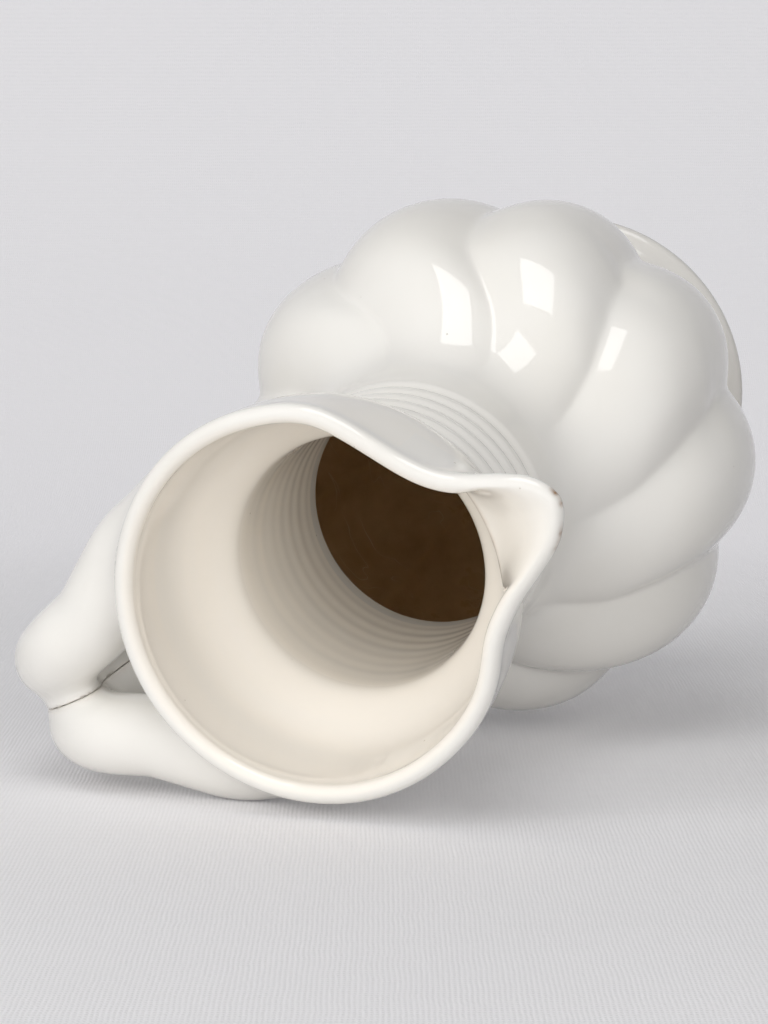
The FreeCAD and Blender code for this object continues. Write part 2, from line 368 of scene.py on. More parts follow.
def pinholes(tree, place, scale, size):
    # Small round pits where a bubble broke in the glaze: 1 in a pit, 0 elsewhere.
    spots = addNode(tree, "ShaderNodeTexVoronoi", {"Vector": place, "Scale": scale})
    return mapRange(tree, spots.outputs["Distance"], size * scale * 0.5, size * scale, 1.0, 0.0)


# Ranges give the noise values between which a share goes from none to all, or between two shares.
creamGlaze = {
    # The warm tone inside the mouth is lighter than the glaze: partly a warmer glaze, partly painted light.
    "colour": (0.855, 0.835, 0.79), "pooled": (0.825, 0.80, 0.745), "warmPaintedLight": (0.965, 0.91, 0.82),
    # The stain colour also paints shade where the handle's strands face the cloth.
    "stain": (0.33, 0.17, 0.06), "pit": (0.34, 0.25, 0.16), "cloudScale": 14.0,
    "cloudRange": (0.38, 0.68), "bandStretch": (6.0, 6.0, 90.0), "bandRange": (0.3, 0.7, 0.55, 1.0),
    "blotchScale": 260.0, "blotchRange": (0.3, 0.7, 0.5, 1.25), "dullScale": 55.0,
    "dullRange": (0.3, 0.75), "roughness": (0.02, 0.05), "waveScale": 24.0, "waveHeight": 0.12 * mm,
    "peelScale": 480.0, "peelHeight": 0.010 * mm, "pitScale": 60.0, "pitSize": 0.5 * mm,
    "pitDepth": 0.12 * mm, "IOR": 1.57,
}


def makeGlaze(name, looks):
    material, tree, shader, place = newMaterial(name)
    do = mathOn(tree)
    clouds = noiseTexture(tree, place, looks["cloudScale"], 3.0)
    pooling = mapRange(tree, clouds, *looks["cloudRange"])
    colour = mixColor(tree, pooling, looks["colour"], looks["pooled"])
    # Inside the mouth the colour turns warmer and lighter where the wall faces the axis, in soft bands. This
    # is partly a warmer glaze and partly painted light: bands of painted light and shade in place of the
    # light bouncing about inside the mouth.
    long = vectorNode(tree, "MULTIPLY", place, looks["bandStretch"])[0]
    bands = mapRange(tree, noiseTexture(tree, long, 1.0, 3.0), *looks["bandRange"])
    colour = mixColor(tree, do("MULTIPLY", named(tree, "warmPaintedLight"), bands), colour, looks["warmPaintedLight"])
    pits = pinholes(tree, place, looks["pitScale"], looks["pitSize"])
    colour = mixColor(tree, do("MULTIPLY", pits, clouds), colour, looks["pit"])
    # The stains, and the painted shade under the handle, come in as ragged blotches.
    blotches = noiseTexture(tree, place, looks["blotchScale"], 4.0)
    ragged = do("MULTIPLY", named(tree, "stain"), mapRange(tree, blotches, *looks["blotchRange"]))
    dull = noiseTexture(tree, place, looks["dullScale"], 3.0)
    waves = bumped(tree, noiseTexture(tree, place, looks["waveScale"], 1.0), looks["waveHeight"])
    peel = bumped(tree, noiseTexture(tree, place, looks["peelScale"]), looks["peelHeight"], waves)
    sunk = mapRange(tree, pits, 0.0, 1.0, 1.0, 0.0)
    fillInputs(tree, shader, {
        "Base Color": mixColor(tree, ragged, colour, looks["stain"]),
        "Roughness": mapRange(tree, dull, *looks["dullRange"], *looks["roughness"]),
        "Normal": bumped(tree, sunk, looks["pitDepth"], peel), "IOR": looks["IOR"]})
    return material


brownGlaze = {
    "colour": (0.76, 0.53, 0.27), "pooled": (0.60, 0.39, 0.175), "scratch": (0.92, 0.80, 0.60),
    "cloudScale": 26.0, "cloudRange": (0.35, 0.65), "dullRange": (0.3, 0.7),
    "roughness": (0.25, 0.45), "scratchStretch": (52.0, 20.0, 75.0), "scratchWidth": 0.005,
    "rareScale": 40.0, "rareRange": (0.48, 0.62, 0.0, 0.8), "waveHeight": 0.4 * mm, "IOR": 1.57,
}


def makeBrownGlaze(name, looks):
    material, tree, shader, place = newMaterial(name)
    do = mathOn(tree)
    clouds = noiseTexture(tree, place, looks["cloudScale"], 5.0, 0.6)
    pooling = mapRange(tree, clouds, *looks["cloudRange"])
    colour = mixColor(tree, pooling, looks["colour"], looks["pooled"])
    # Scratches lie where a stretched noise passes one half.
    long = vectorNode(tree, "MULTIPLY", place, looks["scratchStretch"])[0]
    lines = noiseTexture(tree, long, 1.0)
    width = looks["scratchWidth"]
    above = mapRange(tree, lines, 0.5, 0.5 + width, 1.0, 0.0)
    below = mapRange(tree, lines, 0.5 - width, 0.5)
    rare = mapRange(tree, noiseTexture(tree, place, looks["rareScale"]), *looks["rareRange"])
    scratched = do("MULTIPLY", do("MULTIPLY", above, below), rare)
    fillInputs(tree, shader, {
        "Base Color": mixColor(tree, scratched, colour, looks["scratch"]),
        "Roughness": mapRange(tree, clouds, *looks["dullRange"], *looks["roughness"]),
        "Normal": bumped(tree, clouds, looks["waveHeight"]), "IOR": looks["IOR"]})
    return material


glazes = {
    "cream_glaze": makeGlaze("creamGlaze", creamGlaze),
    "cream_glaze_inside": makeGlaze("creamGlazeInside", {
        **creamGlaze, "pooled": (0.845, 0.805, 0.735), "warmPaintedLight": (0.915, 0.86, 0.775)}),
    # The foot's glaze is a darker, less glossy copy of the cream glaze; its darker colour is painted shade.
    "foot_glaze": makeGlaze("footGlaze", {
        **creamGlaze, "colour": (0.74, 0.72, 0.68), "pooled": (0.71, 0.685, 0.64),
        "roughness": (0.06, 0.14)}),
    "brown_lining_glaze": makeBrownGlaze("brownGlaze", brownGlaze),
}
print("materials made")


# Lines of the jug: level, radius, depth of the grooves and their curl

body = {
    "radius": 104.5 * mm, "waistRadius": 57 * mm, "rootRadius": 54.5 * mm, "widestShare": 0.52,
    "wall": 6 * mm, "throatRadius": 46 * mm, "throatDrop": 6.5 * mm, "floorLevel": 43 * mm,
    "grooveDepth": 8 * mm, "grooveRounding": 0.085, "curl": 21.0, "firstGroove": 99.0,
    "lobeAngles": (36, 37.5, 38.5, 36, 37, 37, 34.5, 34.5, 34.5, 34.5),
    # How far three of the grooves stray, in degrees, halfway up the shoulder and near the neck
    "strays": {2: (-1.8, 0), 3: (-3.2, -0.6), 4: (-0.6, -2.0)},
    # Levels in mm where each stray starts, is full, fades and ends
    "strayLevels": ((128, 148, 165, 188), (160, 182, 198, 210)),
    # Rise above the throat and above the floor, and distance from the wall, in mm
    "throatEdge": ((0.8, 0), (0.2, 0.2), (0, 0.8)), "floorEdge": ((1, 3.5), (0, 9)),
    # The cavity follows the outside from above the foot to below the neck, and ends short of the
    # floor and of the throat
    "cavityEnds": (2 * mm, 3 * mm), "cavityShort": (5 * mm, 1 * mm),
    "coatGap": 0.08 * mm, "coat": 1 * mm, "columnCrowding": 0.55,
    "columnsPerLobe": 58, "rowsOutside": 118, "rowsInside": 26,
}
widestLevel = footTop + body["widestShare"] * (bodyTop - footTop)

# Shares of the height, of the swelling, of the depth and of the curl
bellyShares = (
    (0.000, 0.000, 0.00, 0.28), (0.044, 0.080, 0.15, 0.26), (0.143, 0.300, 0.60, 0.22),
    (0.319, 0.605, 0.92, 0.14), (0.527, 0.832, 1.00, 0.08), (0.758, 0.966, 1.00, 0.03),
    (1.000, 1.000, 1.00, 0.00),
)
shoulderShares = (
    (0.262, 0.940, 1.00, 0.05), (0.417, 0.842, 1.00, 0.17), (0.548, 0.690, 1.00, 0.40),
    (0.643, 0.515, 0.92, 0.67), (0.726, 0.325, 0.72, 0.86), (0.821, 0.150, 0.36, 0.97),
    (0.917, 0.046, 0.10, 1.00), (1.000, 0.000, 0.00, 1.00),
)
# Level and radius in mm
neckOutside = (
    (221.5, 53.3), (231, 52.6), (250, 52.3), (268, 52.2), (281, 52.4), (286, 53.7), (293, 59.4),
    (303, 65.8), (315.5, 68.6), (326, 69.6), (333, 70.0), (337, 70.5),
)
neckInside = (
    (205.5, 46), (212, 46), (230, 45.9), (250, 45.9), (268, 45.9), (281, 46.1), (286, 46.9),
    (290, 49.2), (297, 55.2), (305.5, 60.6), (316.5, 63.0), (326, 64.0), (332, 64.2), (337, 63.6),
)


def outsideStations():
    stations = []
    for shares, low, high, narrow in ((bellyShares, footTop, widestLevel, body["waistRadius"]),
                                      (shoulderShares, widestLevel, bodyTop, body["rootRadius"])):
        for height, swell, depth, curl in shares:
            radius = narrow + swell * (body["radius"] - narrow)
            stations.append((low + height * (high - low), radius, depth, curl))
    return stations + [(level * mm, radius * mm, 0.0, 1.0) for level, radius in neckOutside]


outsideLine = rising(lineThrough(outsideStations()))
outsideLine[:, 2] = np.clip(outsideLine[:, 2], 0, 1)
insideLine = rising(lineThrough([(level * mm, radius * mm) for level, radius in neckInside]))


# Body: a thrown round wall, with lobes pressed into it by a rule

def makePressTree():
    tree, given, (x, y, z) = newTree("pressLobes", ("Groove Depth", "Groove Rounding", "Groove Curl"))
    do = mathOn(tree)
    rounding = given["Groove Rounding"]
    away = do("SUBTRACT", 1.0, do("ABSOLUTE", storedValue(tree, "lobePlace")))
    square = do("MULTIPLY", rounding, rounding)
    soft = do("SUBTRACT", do("SQRT", do("ADD", do("MULTIPLY", away, away), square)), rounding)
    full = do("SUBTRACT", do("SQRT", do("ADD", square, 1.0)), rounding)
    near = do("SUBTRACT", 1.0, do("DIVIDE", soft, full))
    depth = do("MULTIPLY", given["Groove Depth"], storedValue(tree, "depthShare"))
    press = do("MULTIPLY", do("MULTIPLY", near, near), depth)
    radius = do("SQRT", do("ADD", do("MULTIPLY", x, x), do("MULTIPLY", y, y)))
    curl = do("MULTIPLY", given["Groove Curl"], storedValue(tree, "curlShare"))
    turned = do("SUBTRACT", do("ARCTAN2", y, x), curl)
    angle = do("ADD", turned, storedValue(tree, "stray"))
    reach = do("MAXIMUM", do("SUBTRACT", radius, press), 0.0)
    joined = addNode(tree, "ShaderNodeCombineXYZ", {
        0: do("MULTIPLY", reach, do("COSINE", angle)), 1: do("MULTIPLY", reach, do("SINE", angle)), 2: z})
    return endTree(tree, given, {"Position": joined.outputs[0]})


pressTree = makePressTree()


def lobeColumns():
    # Angle and place in its lobe for each column; the columns crowd towards the grooves.
    angles, places = [], []
    start = body["firstGroove"]
    even = np.linspace(-1, 1, body["columnsPerLobe"], endpoint=False)
    crowding = body["columnCrowding"]
    place = np.sin(even * math.pi / 2) * crowding + even * (1 - crowding)
    for width in body["lobeAngles"]:
        angles.extend(np.radians(start + (place + 1) / 2 * width))
        places.extend(place)
        start += width
    return np.array(angles), np.array(places)


def pressedGrid(rows):
    # Rows of level, radius, depth share and curl share, thrown round and pressed by the tree.
    angles, places = lobeColumns()
    level, radius, depth, curl = rows.T
    grid = roundGrid(level, radius, angles)
    strays = np.zeros((len(body["lobeAngles"]) + 1, 2))
    for groove, turns in body["strays"].items():
        strays[groove] = np.radians(turns)
    lobes = np.repeat(np.arange(len(body["lobeAngles"])), body["columnsPerLobe"])
    across = ((places + 1) / 2)[:, None]
    own = strays[lobes] * (1 - across) + strays[lobes + 1] * across
    stray = np.zeros((len(rows), len(angles)))
    for levels, turns in zip(body["strayLevels"], own.T):
        start, full, fade, end = (edge * mm for edge in levels)
        stray += np.outer(smoothStep(start, full, level) * (1 - smoothStep(fade, end, level)), turns)
    mesh = meshFrom("blank", grid, [], lobePlace=np.tile(places, len(rows)), stray=stray,
                    depthShare=np.repeat(depth, len(angles)), curlShare=np.repeat(curl, len(angles)))
    return shapedBy(pressTree, mesh, {
        "Groove Depth": body["grooveDepth"], "Groove Rounding": body["grooveRounding"],
        "Groove Curl": math.radians(body["curl"]), "Glaze": glazes["cream_glaze"]}).reshape(grid.shape)


def insetRows(rows, thickness):
    # The same wall moved inwards, square to its line.
    tangent = unit(np.gradient(rows[:, :2], axis=0))
    moved = rows.copy()
    moved[:, 0] += thickness * tangent[:, 1]
    moved[:, 1] -= thickness * tangent[:, 0]
    return moved


def makePot(name, outside, inside, meetsFoot):
    # Outer rows rise, inner rows come back down. Rows above the body only shape its last normals.
    outer, inner = pressedGrid(outside), pressedGrid(inside)
    keep = outside[:, 0] <= bodyTop + 1e-9
    outerNormals = ringNormals(outer)[keep]
    if meetsFoot:
        outerNormals[0, :, 2] = 0
        outerNormals[0] = unit(outerNormals[0])
    grid, normals = np.vstack([outer[keep], inner]), np.vstack([outerNormals, ringNormals(inner)])
    return wallPiece(name, [(grid, normals, "pot", (keep.sum() - 1,), 0.0)])


throatLevel = bodyTop - body["throatDrop"]


def cavityWall(thickness):
    # Inner rows from the throat down to the floor, square to the outer line.
    aboveFoot, belowNeck = body["cavityEnds"]
    aboveFloor, belowThroat = body["cavityShort"]
    rows = partOf(outsideLine, footTop + aboveFoot, bodyTop - belowNeck, body["rowsInside"])
    wall = insetRows(rows, thickness)[::-1]
    low = body["floorLevel"] + thickness - body["wall"]
    wall = wall[(wall[:, 0] > low + aboveFloor) & (wall[:, 0] < throatLevel - belowThroat)]
    lowest, curl = wall[-1, 1], wall[-1, 3]
    edge = [(low + up * mm, lowest - away * mm, 0, curl) for up, away in body["floorEdge"]]
    return np.vstack([wall, edge])


def makeBody():
    outside = partOf(outsideLine, footTop, bodyTop, body["rowsOutside"])
    step = outside[-1, 0] - outside[-2, 0]
    beyond = partOf(outsideLine, bodyTop, bodyTop + 3 * step, 4)[1:]
    bore = body["throatRadius"]
    throat = [(bodyTop, bore, 0, 1)] + [
        (throatLevel + up * mm, bore + away * mm, 0, 1) for up, away in body["throatEdge"]]
    inside = np.vstack([throat, cavityWall(body["wall"])])
    return makePot("bodyShell", np.vstack([outside, beyond]), inside, True)


def makeLining():
    outside = cavityWall(body["wall"] + body["coatGap"])[::-1]
    return makePot("innerLining", outside, cavityWall(body["wall"] + body["coat"]), False)


finishPiece(makeBody(), "body_shell", "cream_glaze")
finishPiece(makeLining(), "inner_lining", "brown_lining_glaze")


# Foot: a thrown ring with a soft standing edge

foot = {
    # Radius and level in mm, from the waist down the outside and up the inside
    "line": ((57.0, 37.0), (57.3, 30.0), (59.2, 21.0), (63.6, 12.5), (69.6, 7.0), (72.9, 5.2), (74.0, 3.4),
             (73.6, 1.3), (72.2, 0.25), (70.0, 0.0), (66.4, 0.0), (65.3, 0.7), (62.2, 5.6), (56.6, 12.5),
             (52.3, 21.0), (50.4, 30.0), (50.0, 37.0)),
    "radius": 74 * mm, "columns": 256, "rows": 110,
}


def makeFoot():
    line = lineThrough([(radius * mm, level * mm) for radius, level in foot["line"]], foot["rows"])[::-1]
    turn = np.linspace(0, 2 * math.pi, foot["columns"], endpoint=False)
    grid = roundGrid(np.maximum(line[:, 1], 0), np.minimum(line[:, 0], foot["radius"]), turn)
    return wallPiece("footRing", [(grid, ringNormals(grid), "ring", (len(grid) - 1,), 0.0)])


# Neck, collar, rim and lip: one thrown wall, cut where the pieces meet

mouth = {
    "ringPitch": 9 * mm, "ringRelief": 1.5 * mm, "firstRing": 231 * mm, "lastRing": (4.3, 4.6),
    "insideShare": 0.11, "crispRing": 1.0, "softRing": 2.0,
    # Inside, the rings start above the body, weaken to a share and end near the top of the neck. The facing
    # range says where the warm painted light inside the mouth goes.
    "ringsStart": 5 * mm, "ringsWeaken": (12 * mm, 45 * mm), "upperRings": 0.25,
    "ringsEnd": (-14 * mm, 3 * mm), "warmLightFacing": (-0.6, 0.2),
    "wall": 6.8 * mm, "rimRadius": 70.6 * mm, "rimRise": 3.7 * mm, "lipHalfAngle": 36.0,
    "troughTop": 0.34, "troughRoot": 0.36, "troughRise": 8.5 * mm, "troughLean": (1.5 * mm, 14 * mm),
    "creaseStain": 0.30, "creaseFade": 0.4, "creaseLean": (1 * mm, 5 * mm),
    # Chips on the lip: azimuth and spread in degrees, depth in mm, stain
    "chips": ((183.2, 0.8, 0.9, 1.1), (180.9, 0.7, 0.7, 1.0), (175.6, 1.2, 0.35, 0.6),
              (173.0, 0.9, 0.3, 0.5)),
    # Degrees round the edge of the rim, from the outside: the first row, and a chip's middle and spread
    "chipStart": -51, "chipMiddle": 14, "chipSpread": 19, "chipRows": 4,
    "chipRagged": 0.25, "chipWaves": 31, "chipDrop": 0.8, "chipStain": 1.6,
    "lipUnderside": 307 * mm, "lipBelly": 1.25, "bellyStart": 0.22, "pinchLevel": 296 * mm,
    # Rows from below the neck to the rim over neck, collar, sill and edge, and back down
    "rowsUp": (3, 92, 30, 15, 4), "rowsOver": 13, "rowsDown": (4, 16, 32, 88, 3), "overlap": 2.4 * mm,
    "columns": 330,
    # Azimuth in degrees and radius in mm round the rim
    "outline": (
        (0, 70.6), (30, 70.6), (60, 70.6), (90, 70.6), (115, 70.6), (134, 70.6), (142, 69.9),
        (148, 69.6), (153, 70.7), (157, 72.9), (162, 76.8), (166, 81.9), (170, 88.0), (173, 92.9),
        (177, 97.2), (180, 99.5), (182.5, 100.0), (185, 98.1), (188, 94.4), (190, 90.4), (193, 83.5),
        (197, 75.6), (202, 69.8), (209, 66.4), (219, 65.6), (232, 67.8), (241, 70.0), (255, 70.6),
        (280, 70.6), (305, 70.6), (330, 70.6)),
}
archLevel = rimTop - mouth["rimRise"]


def rimOutline():
    # Outer edge of the rim, evenly divided, with the unit normal at each point.
    azimuth, radii = np.array(mouth["outline"]).T
    knots = np.concatenate([azimuth - 360, azimuth, azimuth + 360])
    fine = np.linspace(0, 360, 3600, endpoint=False)
    radius = splineThrough(knots, np.tile(radii, 3)[:, None], fine)[:, 0] * mm
    edge = np.stack([radius * np.cos(np.radians(fine)), radius * np.sin(np.radians(fine))], axis=1)
    closed = np.vstack([edge, edge[:1]])
    length = lengthAlong(closed)
    points = sampled(np.linspace(0, length[-1], mouth["columns"], endpoint=False), length, closed)
    for _ in range(3):
        points = (np.roll(points, 1, axis=0) + 2 * points + np.roll(points, -1, axis=0)) / 4
    along = np.roll(points, -1, axis=0) - np.roll(points, 1, axis=0)
    return points, unit(np.stack([along[:, 1], -along[:, 0]], axis=1))


def makeRingTree():
    tree, given, (x, y, z) = newTree("throwRings", ("Ring Pitch", "Ring Relief", "First Ring"))
    do = mathOn(tree)
    turns = do("DIVIDE", do("SUBTRACT", z, given["First Ring"]), given["Ring Pitch"])
    wave = do("ABSOLUTE", do("SINE", do("MULTIPLY", turns, math.pi)))
    groove = do("SUBTRACT", 1.0, do("POWER", wave, storedValue(tree, "ringSoftness")))
    relief = do("MULTIPLY", groove, given["Ring Relief"])
    press = do("MULTIPLY", relief, storedValue(tree, "ringShare"))
    flat = addNode(tree, "ShaderNodeCombineXYZ", {0: x, 1: y}).outputs[0]
    outward = addNode(tree, "ShaderNodeVectorMath", {0: flat}, operation="NORMALIZE").outputs[0]
    inputs = {0: outward, "Scale": do("MULTIPLY", press, -1.0)}
    inward = addNode(tree, "ShaderNodeVectorMath", inputs, operation="SCALE").outputs[0]
    return endTree(tree, given, {"Offset": inward})


def levelsBetween(stops, counts):
    runs = [np.linspace(low, high, count, endpoint=False)
            for low, high, count in zip(stops, stops[1:], counts)]
    return np.concatenate(runs + [stops[-1:]])


def softenTrough(grid, crest, sill, lean):
    # In the lip the trough runs up into the top of the rim without an edge.
    top, low = grid[crest], grid[sill]
    inwards = (low - top) * (1, 1, 0)
    leave = top + mouth["troughTop"] * inwards
    arrive = low - mouth["troughRoot"] * inwards + (0, 0, mouth["troughRise"])
    soft = smoothStep(*mouth["troughLean"], lean)[:, None]
    for row in range(crest + 1, sill):
        t = (row - crest) / (sill - crest)
        bent = 3 * (1 - t) ** 2 * t * leave + 3 * (1 - t) * t * t * arrive
        grid[row] += soft * ((1 - t) ** 3 * top + bent + t ** 3 * low - grid[row])


def chipLip(grid, stains, rows, azimuth, edgeNormals):
    steps = np.linspace(mouth["chipStart"], 180, len(rows) + 2)[1:-1]
    ways = np.column_stack([-edgeNormals, np.full(len(azimuth), -mouth["chipDrop"])])
    for place, spread, depth, strength in mouth["chips"]:
        for step, row in zip(steps, rows):
            share = np.exp(-((azimuth - place) / spread) ** 2)
            share *= math.exp(-((step - mouth["chipMiddle"]) / mouth["chipSpread"]) ** 2)
            share *= 1 - mouth["chipRagged"] * (1 - np.sin(azimuth * mouth["chipWaves"] + step))
            grid[row] += share[:, None] * depth * mm * ways
            stains[row] += strength * np.clip(share * mouth["chipStain"], 0, 1)


def ringShares(level, up, over):
    # Positive shares press rings into the outside, negative ones raise softer rings inside.
    first, pitch = mouth["firstRing"], mouth["ringPitch"]
    ends = (first + last * pitch for last in mouth["lastRing"])
    outer = smoothStep(first - pitch / 2, first - pitch / 4, level) * (1 - smoothStep(*ends, level))
    inner = 1 - smoothStep(*mouth["ringsEnd"], level - neckTop)
    inner *= smoothStep(0, mouth["ringsStart"], level - bodyTop)
    inner *= 1 - (1 - mouth["upperRings"]) * smoothStep(*mouth["ringsWeaken"], level - bodyTop)
    shares = np.zeros(len(level))
    shares[:up], shares[over:] = outer[:up], -mouth["insideShare"] * inner[over:]
    return shares


def makeMouth():
    edge, edgeNormals = rimOutline()
    azimuth = np.degrees(np.arctan2(edge[:, 1], edge[:, 0])) % 360
    outward = unit(edge)
    inner = edge - edgeNormals * mouth["wall"]
    lean = np.linalg.norm(edge, axis=1) - mouth["rimRadius"]
    stops = np.array([bodyTop - mouth["overlap"], bodyTop, neckTop, sillLevel, collarTop, archLevel])

    def risen(level, low):
        return np.clip((level - low) / (archLevel - low), 0, 1)

    def flatRow(points, level):
        return np.column_stack([points, np.full(len(edge), level)])

    def wallRow(line, level, top, swept):
        # From the thrown line towards the rim's outline. The outline's own rounding comes in with
        # the share, so that the wall stays even.
        radius, rimmed = np.interp((level, archLevel), line[:, 0], line[:, 1])
        share = np.where(lean > 0, swept, smoothStep(mouth["pinchLevel"], archLevel, level))[:, None]
        base = radius * outward
        return flatRow(base + (top + (radius - rimmed) * outward - base) * share, level)

    rows = []
    for level in levelsBetween(stops, mouth["rowsUp"]):
        belly = risen(level, mouth["lipUnderside"])
        swept = smoothStep(0, mouth["bellyStart"], belly) * belly ** mouth["lipBelly"]
        rows.append(wallRow(outsideLine, level, edge, swept))
    up = len(rows)
    middle, half = (edge + inner) / 2, (edge - inner) / 2
    for turn in np.linspace(0, math.pi, mouth["rowsOver"] + 2)[1:-1]:
        rows.append(flatRow(middle + half * math.cos(turn), archLevel + mouth["rimRise"] * math.sin(turn)))
    over = len(rows)
    for level in levelsBetween(stops[::-1], mouth["rowsDown"]):
        rows.append(wallRow(insideLine, level, inner, risen(level, sillLevel)))
    grid = np.array(rows)
    outside = dict(zip(("root", "neck", "sill", "collar"), np.cumsum(mouth["rowsUp"])))
    inside = dict(zip(("collar", "sill", "neck", "root"), over + np.cumsum(mouth["rowsDown"])))

    softenTrough(grid, up + mouth["rowsOver"] // 2, inside["sill"], lean)
    stains = np.zeros(grid.shape[:2])
    chipLip(grid, stains, range(up - mouth["chipRows"], over), azimuth, edgeNormals)
    for away in (-1, 0, 1):
        fade = mouth["creaseFade"] if away else 1
        stains[inside["sill"] + away] += fade * mouth["creaseStain"] * smoothStep(*mouth["creaseLean"], lean)
    softness = np.where(np.arange(len(grid)) < up, mouth["crispRing"], mouth["softRing"])
    shares = ringShares(grid[:, 0, 2], up, over)
    mesh = meshFrom("blank", grid, [], ringShare=np.repeat(shares, len(edge)),
                    ringSoftness=np.repeat(softness, len(edge)))
    points = shapedBy(makeRingTree(), mesh, {
        "Ring Pitch": mouth["ringPitch"], "Ring Relief": mouth["ringRelief"],
        "First Ring": mouth["firstRing"], "Glaze": glazes["cream_glaze"]}).reshape(grid.shape)

    isLip = np.abs(azimuth - 180) < mouth["lipHalfAngle"]
    first, count = np.where(isLip)[0][0], int(isLip.sum())
    turned = [np.roll(values, -first, axis=1) for values in (points, ringNormals(points), stains)]
    lipColumns, restColumns = list(range(count)), list(range(count - 1, len(edge))) + [0]

    def patch(runs, columns=None):
        # The rows of these runs, with a hidden cut after each run.
        picked = np.concatenate([np.arange(start, end + 1) for start, end in runs])
        cuts = (np.cumsum([end + 1 - start for start, end in runs]) - 1).tolist()
        places, normals, spots = (values[picked] for values in turned)
        if columns is None:
            return places, normals, "ring", cuts, spots
        return places[:, columns], normals[:, columns], "part", cuts, spots[:, columns]

    def wallOf(low, high):
        return (outside[low], outside[high]), (inside[high], inside[low])

    belowSill, aboveSill = patch(wallOf("neck", "sill")), patch(wallOf("sill", "collar"), restColumns)
    return (
        wallPiece("neckWall", [patch(wallOf("root", "neck"))]),
        wallPiece("collarWall", [belowSill, aboveSill]),
        wallPiece("rimBand", [patch([(outside["collar"], inside["collar"])], restColumns)]),
        wallPiece("pouringLip", [patch([(outside["sill"], inside["sill"])], lipColumns)]))


def paintWarmLightInside(piece):
    # The colour is warmer and lighter where the wall looks at the axis: partly a warmer glaze, partly painted
    # light for the inside of the mouth.
    flat, facing = meshValues(piece.data, "co")[:, :2], meshValues(piece.data, "normal")[:, :2]
    outward = np.einsum("ij,ij->i", flat, facing) / np.linalg.norm(flat, axis=1)
    storeValues(piece.data, "warmPaintedLight", 1 - smoothStep(*mouth["warmLightFacing"], outward))


finishPiece(makeFoot(), "foot", "foot_glaze")
mouthNodes = (("neck", "cream_glaze"), ("collar", "cream_glaze_inside"), ("rim_band", "cream_glaze"),
              ("pouring_lip", "cream_glaze"))
for piece, (node, slot) in zip(makeMouth(), mouthNodes):
    paintWarmLightInside(piece)
    finishPiece(piece, node, slot)


# Handle: two strands of clay, each grown out of the wall with a soft fillet

handle = {
    "turn": math.radians(2.3), "flare": 13 * mm, "gap": 0.03 * mm, "creaseRounding": 0.4 * mm,
    "joint": 10 * mm, "jointReach": 16 * mm, "skinDepth": 0.45 * mm, "rootDepth": 1.6 * mm,
    "rootRounding": 0.5 * mm, "rimCut": (0.5 * mm, 0.6 * mm), "flareReach": 1.02,
    "cell": 1.5 * mm, "bends": (40, 36, 22, 130), "rootRun": (45 * mm, 105 * mm),
    "creaseStain": 0.10, "creaseWidth": (0.3 * mm, 2.4 * mm),
    # Painted shade where a strand faces down towards the cloth
    "underShade": 0.3, "underFacing": (0.965, 0.995),
    # Axes in mm before the turn; the right strand's y is mirrored
    "left": {"side": 1, "rootRadius": 15.0 * mm, "radius": 14.8 * mm, "axis": (
        (31, 51.5, 314), (62, 43.6, 314), (88, 23.6, 314), (121, 9.2, 314), (117.4, 14, 226),
        (82, 17, 162))},
    "right": {"side": -1, "rootRadius": 15.6 * mm, "radius": 14.9 * mm, "axis": (
        (31, 48.5, 314.7), (61, 41, 314.7), (88, 23.6, 314.5), (120.7, 14.8, 314.5),
        (117.4, 14.5, 226), (82, 17, 162))},
}
turnCos, turnSin = math.cos(handle["turn"]), math.sin(handle["turn"])


def acrossHandle(points):
    # Distance from the plane between the strands.
    return -points[:, 0] * turnSin + points[:, 1] * turnCos


def roundedPath(points, radii):
    # A bent rod: straight runs with arcs at the corners, with a point about every mm.
    points = np.array(points, float)
    path = [points[0]]
    for before, corner, after, radius in zip(points, points[1:], points[2:], radii):
        back, ahead = unit(before - corner), unit(after - corner)
        half = math.acos(np.clip(back @ ahead, -1, 1)) / 2
        centre = corner + unit(back + ahead) * radius / math.sin(half)
        reach = radius / math.tan(half)
        start, end = corner + back * reach - centre, corner + ahead * reach - centre
        sweep = math.pi - 2 * half
        for t in np.linspace(0, 1, 25):
            arc = start * math.sin((1 - t) * sweep) + end * math.sin(t * sweep)
            path.append(centre + arc / math.sin(sweep))
    path = np.array(path + [points[-1]])
    length = lengthAlong(path)
    return sampled(np.linspace(0, length[-1], int(length[-1]) + 2), length, path)


def makeRod(looks):
    # Path of one strand and its radius along it.
    x, y, z = roundedPath([(x, looks["side"] * y, z) for x, y, z in looks["axis"]], handle["bends"]).T * mm
    path = np.column_stack([x * turnCos - y * turnSin, x * turnSin + y * turnCos, z])
    thinned = smoothStep(*handle["rootRun"], np.arange(len(path)) * mm)
    return path, looks["rootRadius"] + (looks["radius"] - looks["rootRadius"]) * thinned


rods = {handle[name]["side"]: makeRod(handle[name]) for name in ("left", "right")}


def pressedRadius(angle, level):
    # Radius of the jug's outside, lobes included.
    radius, depth, curl = [np.interp(level, outsideLine[:, 0], outsideLine[:, k]) for k in (1, 2, 3)]
    placed = (np.degrees(angle) + curl * body["curl"] - body["firstGroove"]) % 360
    borders = np.concatenate([[0], np.cumsum(body["lobeAngles"])])
    lobe = np.clip(np.searchsorted(borders, placed, side="right") - 1, 0, len(borders) - 2)
    place = 2 * (placed - borders[lobe]) / (borders[lobe + 1] - borders[lobe]) - 1
    soft = body["grooveRounding"]
    away = 1 - np.abs(place)
    near = 1 - (np.sqrt(away * away + soft * soft) - soft) / (math.sqrt(1 + soft * soft) - soft)
    return radius - near * near * depth * body["grooveDepth"]


def smoothUnion(a, b, width):
    blend = np.clip(width - np.abs(a - b), 0, None) / width
    return np.minimum(a, b) - blend * blend * width / 4


